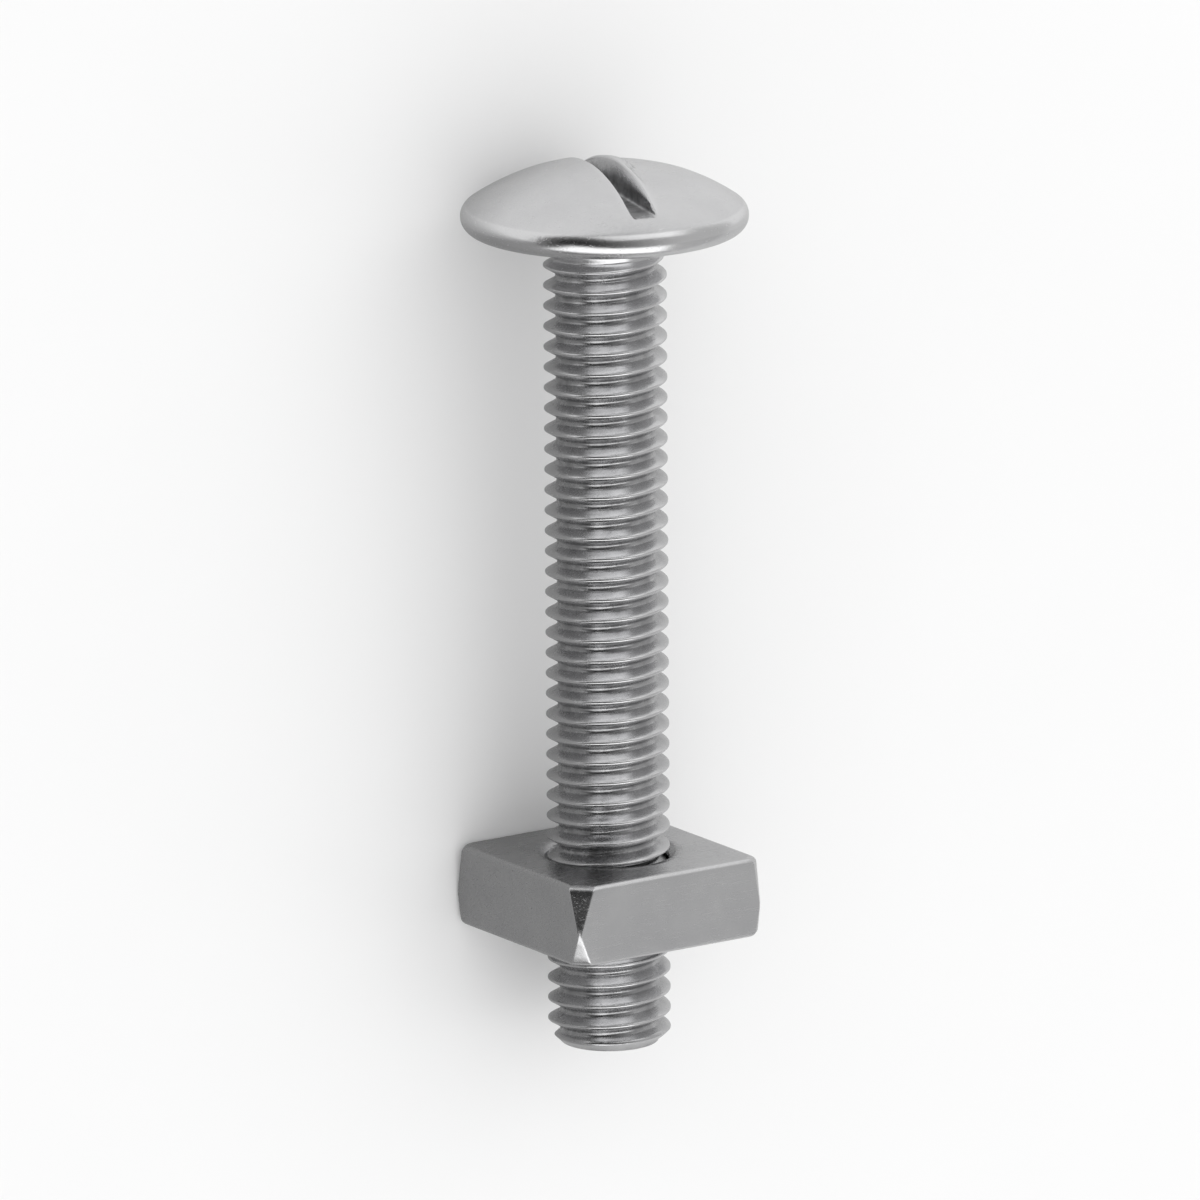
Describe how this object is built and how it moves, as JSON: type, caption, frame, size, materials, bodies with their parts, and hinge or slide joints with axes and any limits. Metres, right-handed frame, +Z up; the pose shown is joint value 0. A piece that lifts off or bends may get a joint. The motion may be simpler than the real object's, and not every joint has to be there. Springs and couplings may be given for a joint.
{
  "type": "roof bolt",
  "caption": "Slotted mushroom-head roof bolt, threaded to the head, with a square nut that travels along its shank.",
  "frame": {"origin": "on the surface the part lies on, under the middle of its box", "axes": "+Z up; +Y along the bolt from its tail to its head, seen from above; +X across the bolt"},
  "size_m": [0.0137, 0.0432, 0.0137],
  "materials": {
    "zinc_plated_steel": "bright zinc plating over a forged head and a rolled thread",
    "zinc_plated_nut": "bright zinc plating, slightly duller than the bolt's"
  },
  "bodies": {
    "bolt": {"bolt": "zinc_plated_steel"},
    "nut": {"square_nut": "zinc_plated_nut"}
  },
  "joints": [
    {"name": "nut_travel", "type": "slide", "parent": "bolt", "child": "nut", "axis": [0, 0.9989, 0.0462], "range_m": [-0.01, 0.029]}
  ]
}
